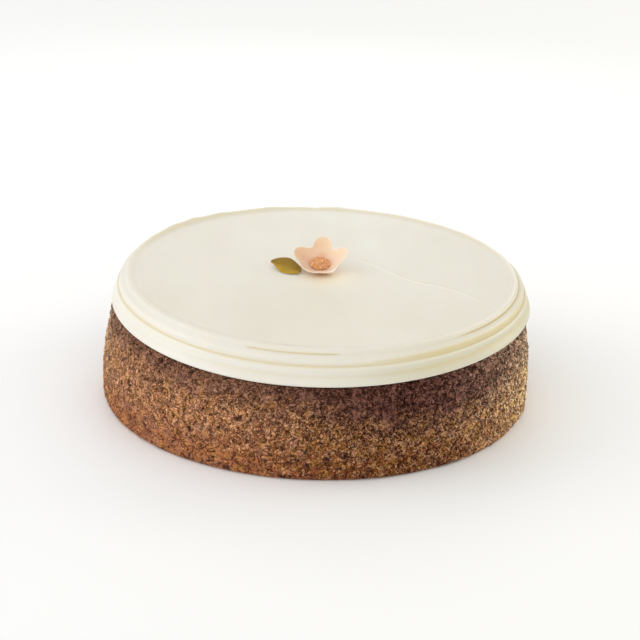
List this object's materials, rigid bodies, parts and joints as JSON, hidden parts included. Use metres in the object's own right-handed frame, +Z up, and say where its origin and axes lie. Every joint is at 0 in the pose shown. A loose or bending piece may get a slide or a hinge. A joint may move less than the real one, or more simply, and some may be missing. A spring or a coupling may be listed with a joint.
{
  "type": "cake",
  "caption": "Round low brown sponge cake under a thick disc of pale icing with a grooved rim, with a peach sugar blossom and a leaf on top.",
  "frame": {"origin": "centre of the sponge's flat underside", "axes": "+Z up through the icing, -Y the front that the flower leans towards, +X to the right seen from the front"},
  "size_m": [0.2023, 0.204, 0.071],
  "materials": {
    "sponge": "baked brown crumb, fine open pores, no gloss",
    "icing": "smooth ivory icing, soft sheen, spatula marks",
    "petal": "thin peach sugar paste with pale rims, matte",
    "centre_sugar": "coarse orange-peach sugar grains",
    "leaf": "olive sugar paste with a slight gloss"
  },
  "bodies": {
    "root": {"sponge": "sponge", "icing": "icing", "flower": "petal", "flower_centre": "centre_sugar", "leaf": "leaf"}
  },
  "joints": []
}
